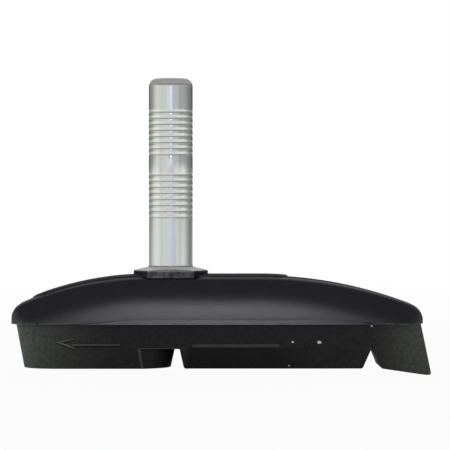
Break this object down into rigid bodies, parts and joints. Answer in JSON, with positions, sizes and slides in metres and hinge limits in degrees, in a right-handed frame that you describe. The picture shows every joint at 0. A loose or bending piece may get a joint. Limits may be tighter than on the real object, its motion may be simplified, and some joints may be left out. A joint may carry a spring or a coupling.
{
  "type": "bicycle rim brake pad",
  "caption": "Arched rubber rim brake shoe with a slotted friction block and a claw at one end, moulded on a ring-grooved metal stud that a brake arm clamps.",
  "frame": {"origin": "on the stud's axis, where its straight shank rises from the flange", "axes": "+Z along the stud away from the shoe, +X along the shoe towards the claw, so the friction face looks along -Z"},
  "size_m": [0.067, 0.0138, 0.0473],
  "materials": {
    "rubber": "satin moulded",
    "stud_metal": "turned, drawn streaks",
    "plate_steel": "plain stamped"
  },
  "bodies": {
    "root": {"shoe": "rubber", "post": "stud_metal", "backing_plate": "plate_steel"}
  },
  "joints": []
}
